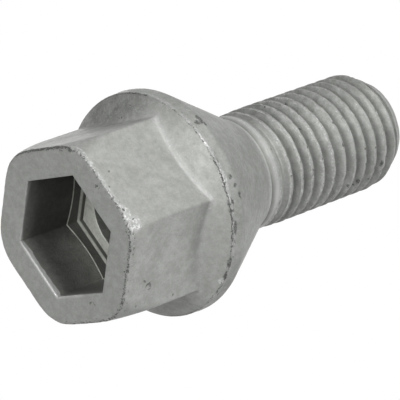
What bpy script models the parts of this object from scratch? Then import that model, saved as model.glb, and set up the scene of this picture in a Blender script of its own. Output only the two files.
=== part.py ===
"""Wheel bolt, one piece: hexagon head with a hexagon recess, round collar, conical seat and rolled thread.

The bolt stands on its head. The end face of the head lies on z = 0 with its centre at the origin, and the
thread points up along +Z. The hexagon's flats face +X, -X and four directions between, at each 60 degrees.

The whole surface is one skin. It starts in the bottom of the recess, runs out of its mouth, across the end
face, up the outside of the head, the collar, the seat and the thread, and closes over the thread's end.
"""
import math

import bmesh
import bpy

MM = 0.001

# Hexagon head
WRENCH_WIDTH = 16.95 * MM             # across the flats, for a 17 mm wrench
HEX_HEIGHT = 10.3 * MM                # end face to where the corners run into the collar
HEX_CORNER_RADIUS = 0.3 * MM          # rounding of the six long edges
END_FACE_DIAMETER = 18.1 * MM         # the turned crown cuts the corners back to this at the end face
CROWN_LENGTH = 5.0 * MM               # how far up the corners the crown reaches
CROWN_BLEND = 0.5 * MM                # softens the line where the crown meets the flats
END_EDGE_RADIUS = 0.12 * MM           # rounding between the end face and the sides

# Hexagon recess in the head, with a round hollow in its floor
RECESS_WIDTH = 11.2 * MM              # across its flats
RECESS_LEAD_IN = 0.15 * MM            # bevel round the mouth
RECESS_DEPTH = 7.95 * MM              # end face to the floor
FIRST_LEDGE_DEPTH = 6.3 * MM          # in the middle of a wall
FIRST_LEDGE_WIDTH = 0.06 * MM
FIRST_LEDGE_CONE = 0.4                # the ledge lies nearer the mouth in the corners, by this slope
SECOND_LEDGE_DEPTH = 7.3 * MM
SECOND_LEDGE_WIDTH = 0.14 * MM
HOLLOW_DIAMETER = 8.7 * MM
HOLLOW_DEPTH = 3.0 * MM               # floor to the edge of the hollow's conical bottom
HOLLOW_POINT_ANGLE = math.radians(118.0)

# Collar
COLLAR_OVERHANG = 1.31 * MM           # how far the collar stands out past the hexagon's corners
COLLAR_RISE = 0.92 * MM               # from the foot of the corners up to the collar's front edge
COLLAR_DOME_RADIUS = 10.0 * MM        # the collar's front face is domed
COLLAR_FILLET = 0.45 * MM             # hollow rounding between the hexagon and the collar
RIM_HEIGHT = 1.45 * MM
RIM_TAPER = 0.08 * MM                 # the front edge of the rim is smaller in radius by this much
RIM_EDGE_RADIUS = 1.0 * MM            # rounding between the rim and the seat

# Conical seat and neck
SEAT_ANGLE = math.radians(60.0)       # full angle of the cone
NECK_RELIEF = 0.19 * MM               # the neck is smaller in radius than the thread by this much
NECK_LENGTH = 0.1 * MM
GROOVE_DEPTH = 0.15 * MM              # the groove behind the neck is smaller in radius by this much more
GROOVE_LENGTH = 0.3 * MM              # from the neck down to the groove's bottom
SHOULDER_LENGTH = 0.35 * MM           # from the groove's bottom out to the band
BAND_RELIEF = 0.2 * MM                # the plain band is smaller in radius than the thread by this much
BAND_LENGTH = 0.47 * MM

# Thread, right hand
THREAD_SIZE = 12.0 * MM
THREAD_PITCH = 1.5 * MM
THREAD_ALLOWANCE = 0.12 * MM          # the crests are smaller in diameter than the nominal size
THREAD_PHASE = 0.75                   # where a crest passes +X above the thread's start, in pitches
RUNOUT_TURNS = 1.2                    # turns over which the groove reaches its full depth
CREST_TURNS = 2.0                     # turns over which the crests rise from the band to their full size
SHANK_LENGTH = 19.95 * MM             # from the small end of the seat to the end of the bolt
POINT_LENGTH = 2.15 * MM              # tapered end of the thread
POINT_DIAMETER = 9.55 * MM

# Fineness of the skin: points round each ring, and steps along each curve
HEAD_POINTS = 72
RECESS_POINTS = 24
SHANK_POINTS = 36
EDGE_STEPS = 2
CROWN_STEPS = 6
FILLET_STEPS = 3
DOME_STEPS = 2
RIM_EDGE_STEPS = 2

# Sizes that follow from those above
HALF_CORNER = math.radians(30.0)
CORNER_RADIUS = WRENCH_WIDTH / 2 / math.cos(HALF_CORNER)
COLLAR_RADIUS = CORNER_RADIUS + COLLAR_OVERHANG
COLLAR_EDGE_RADIUS = COLLAR_RADIUS - RIM_TAPER
COLLAR_EDGE_HEIGHT = HEX_HEIGHT + COLLAR_RISE
SEAT_START = COLLAR_EDGE_HEIGHT + RIM_HEIGHT
SEAT_SLOPE = math.tan(SEAT_ANGLE / 2)
CREST_RADIUS = (THREAD_SIZE - THREAD_ALLOWANCE) / 2
NECK_RADIUS = CREST_RADIUS - NECK_RELIEF
BAND_RADIUS = CREST_RADIUS - BAND_RELIEF
SEAT_END = SEAT_START + (COLLAR_RADIUS - NECK_RADIUS) / SEAT_SLOPE
NECK_END = SEAT_END + NECK_LENGTH
GROOVE_HEIGHT = NECK_END + GROOVE_LENGTH
BAND_START = GROOVE_HEIGHT + SHOULDER_LENGTH
THREAD_START = BAND_START + BAND_LENGTH
BOLT_LENGTH = SEAT_END + SHANK_LENGTH
POINT_START = BOLT_LENGTH - POINT_LENGTH

# Form of a rolled metric thread, as shares of its pitch
FLANK_ANGLE = math.radians(30.0)
CREST_FLAT = 1 / 8
THREAD_DEPTH = 0.6134
ROOT_RADIUS = 0.1443


def clear_scene():
    for item in list(bpy.data.objects):
        bpy.data.objects.remove(item, do_unlink=True)


def hexagon_radius(angle, half_width, corner_radius):
    """Distance from the axis to a hexagon with rounded corners, whose flats face each 60 degrees from +X."""
    from_flat = abs((angle + HALF_CORNER) % (2 * HALF_CORNER) - HALF_CORNER)
    rounded_from = math.atan((half_width - corner_radius) * math.tan(HALF_CORNER) / half_width)
    if from_flat <= rounded_from:
        return half_width / math.cos(from_flat)
    centre = (half_width - corner_radius) / math.cos(HALF_CORNER)
    from_corner = HALF_CORNER - from_flat
    reach = math.sqrt(corner_radius ** 2 - (centre * math.sin(from_corner)) ** 2)
    return centre * math.cos(from_corner) + reach


def soft_least(first, second, reach):
    """The smaller of two sizes, eased where they are closer to each other than reach."""
    near = max(reach - abs(first - second), 0.0)
    return min(first, second) - near ** 2 / (4 * reach)


def crown_radius(height):
    """Radius of the turned crown that rounds the corners off towards the end face."""
    drop = CORNER_RADIUS - END_FACE_DIAMETER / 2
    arc = (drop ** 2 + CROWN_LENGTH ** 2) / (2 * drop)
    below = max(CROWN_LENGTH - height, 0.0)
    return CORNER_RADIUS - arc + math.sqrt(arc ** 2 - below ** 2)


def side_radius(side, height):
    """Distance from the axis to the hexagon's side as the crown leaves it at this height."""
    reach = CROWN_BLEND * (1 - height / CROWN_LENGTH)
    return soft_least(side, crown_radius(height), reach) if height < CROWN_LENGTH else side


def dome_centre():
    """Centre of the arc, in radius and height, of the collar's domed front face."""
    run = COLLAR_EDGE_RADIUS - CORNER_RADIUS
    chord = math.hypot(run, COLLAR_RISE)
    back = math.sqrt(COLLAR_DOME_RADIUS ** 2 - (chord / 2) ** 2)
    middle = (CORNER_RADIUS + run / 2, HEX_HEIGHT + COLLAR_RISE / 2)
    return middle[0] - back * COLLAR_RISE / chord, middle[1] + back * run / chord


def head_profile(angle):
    """Outline of the head in the half-plane at this angle, from the end face to the collar's front edge."""
    side = hexagon_radius(angle, WRENCH_WIDTH / 2, HEX_CORNER_RADIUS)
    edge = side_radius(side, END_EDGE_RADIUS)
    points = []
    for step in range(EDGE_STEPS + 1):
        turn = math.pi / 2 * step / EDGE_STEPS
        inward = END_EDGE_RADIUS * (1 - math.sin(turn))
        points.append((edge - inward, END_EDGE_RADIUS * (1 - math.cos(turn))))
    for step in range(1, CROWN_STEPS + 1):
        height = END_EDGE_RADIUS + (CROWN_LENGTH - END_EDGE_RADIUS) * step / CROWN_STEPS
        points.append((side_radius(side, height), height))

    centre_radius, centre_height = dome_centre()
    fillet_radius = side + COLLAR_FILLET
    reach = COLLAR_DOME_RADIUS + COLLAR_FILLET
    fillet_height = centre_height - math.sqrt(reach ** 2 - (fillet_radius - centre_radius) ** 2)
    tilt_end = math.atan2(centre_height - fillet_height, fillet_radius - centre_radius)
    for step in range(FILLET_STEPS + 1):
        turn = tilt_end * step / FILLET_STEPS
        points.append((fillet_radius - COLLAR_FILLET * math.cos(turn),
                       fillet_height + COLLAR_FILLET * math.sin(turn)))

    dome_from = math.atan2(points[-1][0] - centre_radius, centre_height - points[-1][1])
    dome_to = math.atan2(COLLAR_EDGE_RADIUS - centre_radius, centre_height - COLLAR_EDGE_HEIGHT)
    for step in range(1, DOME_STEPS + 1):
        turn = dome_from + (dome_to - dome_from) * step / DOME_STEPS
        points.append((centre_radius + COLLAR_DOME_RADIUS * math.sin(turn),
                       centre_height - COLLAR_DOME_RADIUS * math.cos(turn)))
    return points


def rim_and_seat_profile():
    """Turned outline from the rim's rounded rear edge to the small end of the seat."""
    half_turn = SEAT_ANGLE / 4
    arc_start = SEAT_START - RIM_EDGE_RADIUS * math.tan(half_turn)
    points = []
    for step in range(RIM_EDGE_STEPS + 1):
        turn = SEAT_ANGLE / 2 * step / RIM_EDGE_STEPS
        points.append((COLLAR_RADIUS - RIM_EDGE_RADIUS * (1 - math.cos(turn)),
                       arc_start + RIM_EDGE_RADIUS * math.sin(turn)))
    points.append((NECK_RADIUS, SEAT_END))
    return points


def recess_point(angle, half_width, depth, cone):
    """Point of the recess at this angle. A cone brings it nearer the mouth as its radius grows."""
    radius = hexagon_radius(angle, half_width, 0.0)
    return radius, depth - cone * (radius - half_width)


def recess_steps():
    """Recess from its mouth to its floor, as half width across the flats, depth and cone."""
    half = RECESS_WIDTH / 2
    first = half - FIRST_LEDGE_WIDTH
    second = first - SECOND_LEDGE_WIDTH
    return [
        (half + RECESS_LEAD_IN, 0.0, 0.0),
        (half, RECESS_LEAD_IN, 0.0),
        (half, FIRST_LEDGE_DEPTH, FIRST_LEDGE_CONE),
        (first, FIRST_LEDGE_DEPTH + FIRST_LEDGE_WIDTH, FIRST_LEDGE_CONE),
        (first, SECOND_LEDGE_DEPTH, 0.0),
        (second, SECOND_LEDGE_DEPTH + SECOND_LEDGE_WIDTH, 0.0),
        (second, RECESS_DEPTH, 0.0),
    ]


def add_ring(bm, count, point_at):
    """Ring of vertices round the axis. point_at gives the radius and height at an angle."""
    ring = []
    for step in range(count):
        angle = 2 * math.pi * step / count
        radius, height = point_at(angle)
        ring.append(bm.verts.new((radius * math.cos(angle), radius * math.sin(angle), height)))
    return ring


def skin(bm, first, second):
    """Join two rings with faces. One of them may have a whole multiple of the other's points."""
    coarse_first = len(first) < len(second)
    fine, coarse = (second, first) if coarse_first else (first, second)
    ratio = len(fine) // len(coarse)
    for index, here in enumerate(coarse):
        there = coarse[(index + 1) % len(coarse)]
        run = [fine[(index * ratio + step) % len(fine)] for step in range(ratio + 1)]
        if ratio == 1:
            faces = [(run[0], run[1], there, here)]
        else:
            middle = ratio // 2
            faces = [(run[step], run[step + 1], here if step < middle else there) for step in range(ratio)]
            faces.append((run[middle], there, here))
        for corners in faces:
            bm.faces.new(corners[::-1] if coarse_first else corners)


def add_recess(bm):
    """Recess with its ledges, floor and hollow. Returns the ring round its mouth."""
    radius = HOLLOW_DIAMETER / 2
    bottom = RECESS_DEPTH + HOLLOW_DEPTH
    deepest = bm.verts.new((0.0, 0.0, bottom + radius / math.tan(HOLLOW_POINT_ANGLE / 2)))
    ring = add_ring(bm, RECESS_POINTS, lambda angle: (radius, bottom))
    for index in range(RECESS_POINTS):
        bm.faces.new((deepest, ring[(index + 1) % RECESS_POINTS], ring[index]))
    edge = add_ring(bm, RECESS_POINTS, lambda angle: (radius, RECESS_DEPTH))
    skin(bm, ring, edge)
    ring = edge
    for step in reversed(recess_steps()):
        outer = add_ring(bm, RECESS_POINTS, lambda angle: recess_point(angle, *step))
        skin(bm, ring, outer)
        ring = outer
    return ring


def add_head(bm, mouth):
    """End face and outside of the head, up to the neck. Returns the ring where the neck begins."""
    profiles = [head_profile(2 * math.pi * step / HEAD_POINTS) for step in range(HEAD_POINTS)]
    ring = mouth
    for level in range(len(profiles[0])):
        outline = iter([profile[level] for profile in profiles])
        upper = add_ring(bm, HEAD_POINTS, lambda angle: next(outline))
        skin(bm, ring, upper)
        ring = upper
    for point in rim_and_seat_profile():
        upper = add_ring(bm, HEAD_POINTS, lambda angle: point)
        skin(bm, ring, upper)
        ring = upper
    return ring


def thread_points():
    """One pitch of the thread's outline, as heights above the crest's middle with their depths."""
    crest = CREST_FLAT / 2 * THREAD_PITCH
    depth = THREAD_DEPTH * THREAD_PITCH
    root = ROOT_RADIUS * THREAD_PITCH
    middle = THREAD_PITCH / 2
    flank_foot = depth - root * (1 - math.sin(FLANK_ANGLE))
    foot = root * math.cos(FLANK_ANGLE)
    return [(-crest, 0.0), (crest, 0.0), (middle - foot, flank_foot), (middle, depth), (middle + foot, flank_foot)]


def thread_radius(depth, height):
    """Radius of a point of the thread, with the runout at the neck and the tapered end taken off it."""
    turns = (height - THREAD_START) / THREAD_PITCH
    radius = BAND_RADIUS + BAND_RELIEF * min(turns / CREST_TURNS, 1.0)
    radius -= depth * min(turns / RUNOUT_TURNS, 1.0)
    along_point = max(height - POINT_START, 0.0) / POINT_LENGTH
    return min(radius, CREST_RADIUS - along_point * (CREST_RADIUS - POINT_DIAMETER / 2))


def thread_column(bm, column, low, high):
    """Vertices of the thread along one straight line up the bolt, by their place in the outline."""
    outline = thread_points()
    angle = 2 * math.pi * column / SHANK_POINTS
    start = low + (THREAD_PHASE - 1 + column / SHANK_POINTS) * THREAD_PITCH
    spare = min(abs(b[0] - a[0]) for a, b in zip(outline, outline[1:])) / 4
    vertices = {}
    for place in range(int((high - low) / THREAD_PITCH + 3) * len(outline)):
        turn, index = divmod(place, len(outline))
        height = start + turn * THREAD_PITCH + outline[index][0]
        if low + spare < height < high - spare:
            radius = thread_radius(outline[index][1], height)
            vertices[place] = bm.verts.new((radius * math.cos(angle), radius * math.sin(angle), height))
    return vertices


def join_columns(bm, left, right, low, high):
    """Faces between two neighbouring columns, and from them to the rings under and over the thread."""
    first = max(min(left), min(right))
    last = min(max(left), max(right))
    bottom = [right[place] for place in range(min(right), first)] + [right[first], left[first]]
    bottom += [left[place] for place in range(first - 1, min(left) - 1, -1)]
    corners = [low[1]] + bottom
    for here, there in zip(corners, corners[1:]):
        bm.faces.new((low[0], here, there))
    for place in range(first, last):
        bm.faces.new((left[place], right[place], right[place + 1], left[place + 1]))
    top = [left[place] for place in range(max(left), last, -1)] + [left[last], right[last]]
    top += [right[place] for place in range(last + 1, max(right) + 1)]
    corners = [high[0]] + top
    for here, there in zip(corners, corners[1:]):
        bm.faces.new((high[1], here, there))


def add_thread(bm, neck):
    """Neck, thread and the bolt's end."""
    ring = neck
    turned = (
        (NECK_RADIUS, NECK_END),
        (NECK_RADIUS - GROOVE_DEPTH, GROOVE_HEIGHT),
        (BAND_RADIUS, BAND_START),
        (BAND_RADIUS, THREAD_START),
    )
    for radius, height in turned:
        upper = add_ring(bm, SHANK_POINTS, lambda angle: (radius, height))
        skin(bm, ring, upper)
        ring = upper
    end = add_ring(bm, SHANK_POINTS, lambda angle: (POINT_DIAMETER / 2, BOLT_LENGTH))
    columns = [thread_column(bm, column, THREAD_START, BOLT_LENGTH) for column in range(SHANK_POINTS)]
    per_turn = len(thread_points())
    for column in range(SHANK_POINTS):
        following = (column + 1) % SHANK_POINTS
        shift = per_turn if following == 0 else 0
        right = {place - shift: vertex for place, vertex in columns[following].items()}
        join_columns(bm, columns[column], right, (ring[column], ring[following]), (end[column], end[following]))
    bm.faces.new(end)


def coated_steel():
    """Matt silver-grey coating on steel."""
    material = bpy.data.materials.new("coated_steel")
    material.use_nodes = True
    shader = material.node_tree.nodes["Principled BSDF"]
    shader.inputs["Base Color"].default_value = (0.31, 0.32, 0.30, 1.0)
    shader.inputs["Metallic"].default_value = 0.5
    shader.inputs["Roughness"].default_value = 0.6
    return material


def build_bolt():
    bm = bmesh.new()
    mouth = add_recess(bm)
    neck = add_head(bm, mouth)
    add_thread(bm, neck)
    mesh = bpy.data.meshes.new("wheel_bolt")
    bm.to_mesh(mesh)
    bm.free()
    mesh.shade_smooth()
    mesh.set_sharp_from_angle(angle=math.radians(35.0))
    mesh.materials.append(coated_steel())
    bolt = bpy.data.objects.new("wheel_bolt", mesh)
    bpy.context.scene.collection.objects.link(bolt)
    return bolt


def main():
    clear_scene()
    build_bolt()


main()
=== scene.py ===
"""Looks of the wheel bolt: its fine skin with rolled thread and wear, its coating, floor, lamps and camera.

Sizes in this file are in millimetres and are turned into metres where a mesh or an object is made. The bolt
stands on its head, with the centre of the end face at the origin and the thread along +Z.
"""
import math

import bpy
import numpy as np
from mathutils import Matrix, Vector, noise


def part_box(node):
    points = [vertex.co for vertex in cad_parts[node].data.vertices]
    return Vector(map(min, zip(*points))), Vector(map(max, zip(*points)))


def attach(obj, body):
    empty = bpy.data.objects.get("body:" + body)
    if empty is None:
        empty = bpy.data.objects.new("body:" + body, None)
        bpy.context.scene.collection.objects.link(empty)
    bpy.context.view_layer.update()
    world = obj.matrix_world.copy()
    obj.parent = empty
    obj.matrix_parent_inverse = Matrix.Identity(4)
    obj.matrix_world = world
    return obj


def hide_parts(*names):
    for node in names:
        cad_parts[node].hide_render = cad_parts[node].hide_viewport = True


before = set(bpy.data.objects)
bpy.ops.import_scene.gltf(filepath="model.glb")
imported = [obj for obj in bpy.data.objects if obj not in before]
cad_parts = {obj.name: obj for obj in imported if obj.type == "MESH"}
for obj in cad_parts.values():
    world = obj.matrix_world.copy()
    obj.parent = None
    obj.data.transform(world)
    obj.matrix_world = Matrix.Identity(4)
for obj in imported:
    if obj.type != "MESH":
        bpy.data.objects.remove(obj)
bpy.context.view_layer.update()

MM = 0.001
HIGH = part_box("wheel_bolt")[1]

# Hexagon head
WRENCH_WIDTH = 16.95
HEX_HEIGHT = 10.3
HEX_CORNER_RADIUS = 0.3
END_FACE_DIAMETER = 18.1
CROWN_LENGTH = 5.0
CROWN_BLEND = 0.5
END_EDGE_RADIUS = 0.12

# Hexagon recess in the head, with a round hollow in its floor
RECESS_WIDTH = 11.2
RECESS_LEAD_IN = 0.08
RECESS_LEAD_DEPTH = 0.15
RECESS_OFF_CENTRE = -0.115            # towards -X
FIRST_LEDGE_DEPTH = 6.3
FIRST_LEDGE_WIDTH = 0.06
FIRST_LEDGE_CONE = 0.4
SECOND_LEDGE_DEPTH = 7.3
SECOND_LEDGE_WIDTH = 0.14
RECESS_DEPTH = 7.95
HOLLOW_DIAMETER = 8.7
HOLLOW_DEPTH = 3.0
HOLLOW_POINT_ANGLE = math.radians(118.0)

# Collar, seat and neck
COLLAR_RISE = 0.92
COLLAR_DOME_RADIUS = 10.0
COLLAR_FILLET = 0.65
FILLET_SHEEN_FROM = 0.88              # share of the way up the side where the fillet's sheen starts
RIM_HEIGHT = 1.45
RIM_TAPER = 0.08
RIM_EDGE_RADIUS = 1.0
SEAT_ANGLE = math.radians(60.0)
NECK_RELIEF = 0.12
NECK_LENGTH = 0.22
GROOVE_DEPTH = 0.18
GROOVE_LENGTH = 0.2
SHOULDER_LENGTH = 0.5
BAND_RELIEF = 0.16
BAND_LENGTH = 0.42

# Thread, right hand
THREAD_PITCH = 1.5
CREST_RADIUS = 5.94
THREAD_PHASE = 0.75                   # where a crest passes +X above the thread's start, in pitches
RUNOUT_TURNS = 1.6
CREST_TURNS = 2.0
EARLY_SHIFT = 0.2                     # how much nearer to the neck the first turns lie
EARLY_TURNS = 4.0
EARLY_FADE = 2.0
POINT_LENGTH = 2.15
POINT_DIAMETER = 9.55
THREAD_DEPTH = 0.92
ROOT_RADIUS = 0.13
FLANK_ANGLE = math.radians(30.0)
CREST_SLOPE = 0.04                    # rounding from a crest's lip to its flank
CREST_EDGE_DEPTH = 0.02

# The rolled crests have two lips with a seam between. The lips close up within some turns from the neck.
OPEN_LIP = 0.22
CLOSED_LIP = 0.12
OPEN_SEAM = 0.09
CLOSED_SEAM = 0.025
LIP_TURNS = 4.0
SEAM_SIDE_PLACE = 0.55                # of the lip's place, where the seam has this much of its depth
SEAM_SIDE_DEPTH = 0.6

# The coating reaches this far into the recess, at these azimuths in degrees
COAT_REACH = ((0, 0.22), (18, 0.36), (28, 0.48), (35, 0.15), (90, 0.1), (210, 0.15), (225, 0.25),
              (240, 0.35), (262, 0.15), (268, 0.3), (272, 0.6), (290, 0.46), (305, 0.42), (322, 0.55),
              (331, 0.3), (345, 0.12))

# How pale the recess is, from 0 to 1: its wall at the mouth, at the share of its depth where that reaches the
# middle tone, and at the first ledge by azimuth in degrees, then the floor and the hollow
MOUTH_TONE = 0.205
MIDDLE_TONE = 0.105
MIDDLE_SHARE = 0.3
# Deep down, the wall is paler at 270 to 310 degrees, where more light falls, and darkest in the corner near
# 330 degrees: painted light and painted shade
DEEP_TONE = ((0, 0.08), (28, 0.07), (60, 0.12), (200, 0.12), (272, 0.25), (310, 0.25), (326, 0.10),
             (334, 0.06))
LEDGE_TONE = 0.52
FLOOR_TONE = 0.50
HOLLOW_TONE = 0.21

# Wear along the end face's edge and the collar's front edge, by azimuth in degrees, from 0 to 1
END_EDGE_SHINE = ((40, 0.2), (82, 0.2), (90, 0.8), (120, 0.75), (146, 1.0), (154, 0.5), (166, 0.2),
                  (300, 0.2))
END_EDGE_DARK = ((20, 0.3), (42, 0.95), (86, 1.0), (93, 0.55), (110, 0.5), (150, 0.7), (185, 0.75),
                 (230, 0.7), (300, 0.25))
SEAM_SHINE = ((60, 0.1), (74, 0.6), (100, 0.7), (112, 0.8), (128, 0.7), (141, 1.0), (152, 1.0),
              (160, 0.6), (172, 0.4), (200, 0.4), (300, 0.2))
SEAM_DARK = ((50, 0.6), (72, 0.9), (80, 0.5), (102, 0.5), (120, 0.6), (141, 0.9), (166, 1.0), (186, 0.7),
             (300, 0.3))

# Painted light, from 0 to 1: a painted sheen on the fillet under the collar and a painted highlight on the
# coating's rounded lip in the recess, by azimuth in degrees, and on the neck by height painted highlights on
# its rings, with painted shade in its grooves below 0. Crests show wear by height.
FILLET_PAINTED_SHEEN = ((60, 0.1), (92, 0.38), (148, 0.42), (153, 0.2), (200, 0.2), (230, 0.1))
LIP_HIGHLIGHT = ((228, 0.0), (240, 0.5), (264, 0.5), (272, 1.0), (320, 0.9), (331, 0.2), (345, 0.0))
NECK_HIGHLIGHT_AND_SHADE = ((21.7, 0.0), (21.95, 0.45), (22.1, 0.1), (22.25, -0.75), (22.45, -0.25), (22.75, 0.5),
               (23.05, 0.5), (23.2, 0.1), (23.35, -0.3), (23.5, 0.1), (23.7, 0.0))
CREST_WEAR = ((23, 0.8), (29, 0.75), (33, 0.5), (38, 0.35))

# Darkening, from 0 to 1, by azimuth in degrees: painted shade in the corner under the collar, and darker on
# the rim and the seat and on the thread
CORNER_SHADE = ((10, 0.3), (36, 0.95), (62, 0.95), (84, 0.45), (98, 0.02), (195, 0.0), (215, 0.1),
               (330, 0.25))
CORNER_SHADE_FROM = 1.0                # height on the hexagon's side where it starts
SEAT_DARKENING = ((60, 0.2), (112, 0.22), (140, 0.24), (170, 0.17), (200, 0.1), (300, 0.12))
THREAD_DARKENING = ((40, 0.6), (90, 0.6), (108, 0.25), (125, 0.03), (165, 0.0), (190, 0.12), (215, 0.35),
               (330, 0.3))

# Grooves pressed into the steel: two ends as azimuth, height and distance from the axis, then width and depth
DENTS = (
    ((117.5, 2.5, 8.5), (126.5, 3.0, 8.5), 0.50, 0.035),
    ((127.0, 4.4, 8.6), (129.5, 5.6, 8.6), 0.55, 0.015),
    ((109.0, 5.0, 8.6), (113.0, 6.6, 8.6), 0.70, 0.015),
    ((111.7, 1.49, 8.56), (111.9, 1.52, 8.56), 0.22, 0.06),
    ((147.9, 0.35, 9.2), (150.5, 0.9, 9.3), 0.60, 0.05),
    ((152.0, 0.2, 9.1), (154.0, 0.1, 9.0), 0.35, 0.05),
    ((84.0, 0.05, 8.9), (90.5, 0.1, 9.1), 0.35, 0.06),
    ((109.6, 12.0, 11.1), (110.3, 12.75, 11.0), 0.45, 0.07),
    ((165.0, 11.3, 11.0), (165.8, 11.6, 11.0), 0.28, 0.08),
    ((141.0, 11.15, 11.0), (144.5, 11.25, 11.0), 0.25, 0.06),
    ((150.5, 12.5, 11.1), (152.0, 12.8, 11.0), 0.25, 0.06),
    ((126.0, 32.2, 5.95), (128.0, 32.5, 5.95), 0.30, 0.08),
    ((150.0, 30.7, 5.9), (152.0, 30.75, 5.9), 0.30, 0.08),
)

# Small dark spots: azimuth, height and distance from the axis, half sizes around, outward and up, and turn in
# degrees
SPOTS = (
    (111.7, 1.49, 8.56, 0.16, 0.4, 0.15, 0),
    (121.6, 0.45, 8.48, 0.16, 0.4, 0.13, 0),
    (138.5, 0.32, 8.90, 0.22, 0.4, 0.14, 0),
    (145.4, 0.81, 9.22, 0.13, 0.4, 0.12, 0),
    (152.6, 0.14, 9.04, 0.26, 0.4, 0.12, 0),
    (166.5, 0.38, 8.71, 0.13, 0.4, 0.15, 0),
    (183.7, 0.17, 8.48, 0.16, 0.4, 0.10, 0),
    (200.7, 0.15, 8.95, 0.28, 0.4, 0.13, 0),
    (205.0, 1.82, 9.32, 0.14, 0.4, 0.12, 0),
    (206.5, 6.65, 9.47, 0.13, 0.4, 0.12, 0),
    (189.9, 2.50, 8.60, 0.11, 0.4, 0.20, 60),
    (192.5, 3.03, 8.68, 0.11, 0.4, 0.42, -40),
    (193.6, 3.30, 8.70, 0.11, 0.4, 0.34, 55),
    (196.3, 3.30, 8.80, 0.11, 0.4, 0.26, -20),
    (86.0, 0.00, 8.80, 0.45, 0.16, 0.30, 0),
    (115.3, 0.00, 7.60, 0.09, 0.34, 0.40, 0),
    (118.0, 0.00, 7.70, 0.06, 0.22, 0.40, 0),
    (153.3, 0.00, 8.85, 0.16, 0.13, 0.40, 0),
    (178.9, 0.00, 8.10, 0.16, 0.1, 0.40, 0),
    (225.0, 0.00, 6.95, 0.06, 0.28, 0.40, 0),
    (227.5, 0.00, 6.60, 0.28, 0.07, 0.40, 0),
    (229.6, 0.00, 6.70, 0.06, 0.28, 0.40, 0),
    (107.0, 12.50, 11.08, 0.32, 0.4, 0.24, 30),
    (109.2, 12.63, 11.02, 0.55, 0.5, 0.26, 30),
    (111.7, 12.80, 10.98, 0.45, 0.5, 0.20, 30),
    (109.8, 12.05, 11.07, 0.34, 0.4, 0.34, 40),
    (141.4, 12.07, 11.06, 0.28, 0.4, 0.22, 0),
    (145.9, 12.35, 11.08, 0.30, 0.4, 0.20, 0),
    (151.4, 12.66, 11.00, 0.42, 0.5, 0.20, 0),
    (142.0, 11.22, 10.95, 0.55, 0.4, 0.13, 0),
    (153.7, 11.13, 10.89, 0.22, 0.4, 0.12, 0),
    (166.3, 11.50, 11.00, 0.75, 0.5, 0.24, 0),
    (173.6, 11.45, 11.03, 0.14, 0.4, 0.12, 0),
    (185.2, 11.22, 11.02, 0.60, 0.5, 0.20, 0),
    (193.5, 11.21, 11.02, 0.42, 0.4, 0.18, 0),
    (207.2, 11.59, 11.04, 0.30, 0.4, 0.12, 0),
    (79.5, 27.18, 5.89, 0.16, 0.4, 0.10, 0),
    (81.2, 30.05, 5.60, 0.18, 0.5, 0.10, 0),
    (109.5, 27.47, 5.90, 0.14, 0.4, 0.10, 0),
    (119.3, 28.51, 5.40, 0.18, 0.5, 0.12, 0),
    (127.0, 32.41, 5.86, 0.18, 0.4, 0.13, 0),
    (139.6, 27.77, 5.90, 0.22, 0.4, 0.14, 0),
    (150.8, 32.51, 5.93, 0.24, 0.4, 0.12, 0),
    (161.7, 35.51, 5.90, 0.14, 0.4, 0.12, 0),
    (164.0, 37.00, 5.91, 0.14, 0.4, 0.12, 0),
    (185.4, 38.31, 5.78, 0.45, 0.3, 0.15, 0),
    (198.6, 35.36, 5.78, 0.40, 0.3, 0.14, 0),
    (205.8, 35.28, 5.60, 0.14, 0.5, 0.10, 0),
    (199.4, 33.93, 5.89, 0.18, 0.5, 0.10, 0),
    (199.7, 36.96, 5.92, 0.13, 0.5, 0.10, 0),
)
SPOT_RAGGEDNESS = 0.12                # millimetres by which the spots' outlines wander
SPOT_FADE = 1.15                      # how far a spot fades out, as a multiple of its half sizes

# Patches worn bright, given as the spots are
BRIGHT_PATCHES = (
    (148.5, 0.75, 9.25, 0.95, 0.7, 0.80, 20),
    (139.5, 0.55, 9.10, 0.90, 0.7, 0.45, 0),
    (141.5, 11.38, 11.0, 1.20, 0.5, 0.42, 0),
    (152.0, 11.35, 11.0, 0.90, 0.5, 0.28, 0),
    (121.0, 11.32, 11.0, 1.30, 0.5, 0.22, 0),
    (197.0, 11.05, 10.9, 0.42, 0.5, 0.26, 0),
)

# Greys, each a level and how far it leans from violet to green, and the colour of bare steel
COAT_DARK = (0.231, 0.006)
COAT_PALE = (0.309, 0.006)
ROOT_GREY = (0.145, 0.006)
# The next three greys: painted shade and darkening, painted shade in the neck's grooves, and worn coating
# with painted highlights
SHADE_AND_DARKENING_GREY = (0.08, 0.003)
GROOVE_SHADE_GREY = (0.12, 0.004)
WORN_AND_HIGHLIGHT_GREY = (0.45, 0.004)
BRIGHT_GREY = (0.52, 0.004)
DARK_GREY = (0.045, 0.002)
BARE_TINT = (0.98, 1.0, 0.92, 1.0)
BLACK = (0.0, 0.0, 0.0, 1.0)

# How much each layer covers what is under it, where it is strongest
ROOT_SHADE = 0.03
THIN_SHADE_AND_DARKENING = 0.45
WORN_PALENESS = 0.25
BRIGHT_SHARE = 0.65
DARK_SHARE = 0.85

# Noises: lumps to the millimetre, detail and roughness, and where one that would repeat another is moved to
CLOUDS = (0.45, 4.0, 0.55)
MOTTLE = (1.6, 5.0, 0.6)
SPECKLE = (5.5, 3.0, 0.65)
FLECKS = (3.4, 4.0, 0.7)
FLECKS_SHIFT = (31.0, 7.0, 3.0)
FLECKS_FLATNESS = 1.5
CHIPS = (2.0, 4.0, 0.7)
CHIPS_SHIFT = (11.0, 3.0, 29.0)
CHIPS_FLATNESS = 1.8
SCATTER = (1.9, 3.0, 0.6)
SCATTER_SHIFT = (3.0, 41.0, 9.0)
SWIRL = (2.5, 2.0, 0.55)

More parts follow.
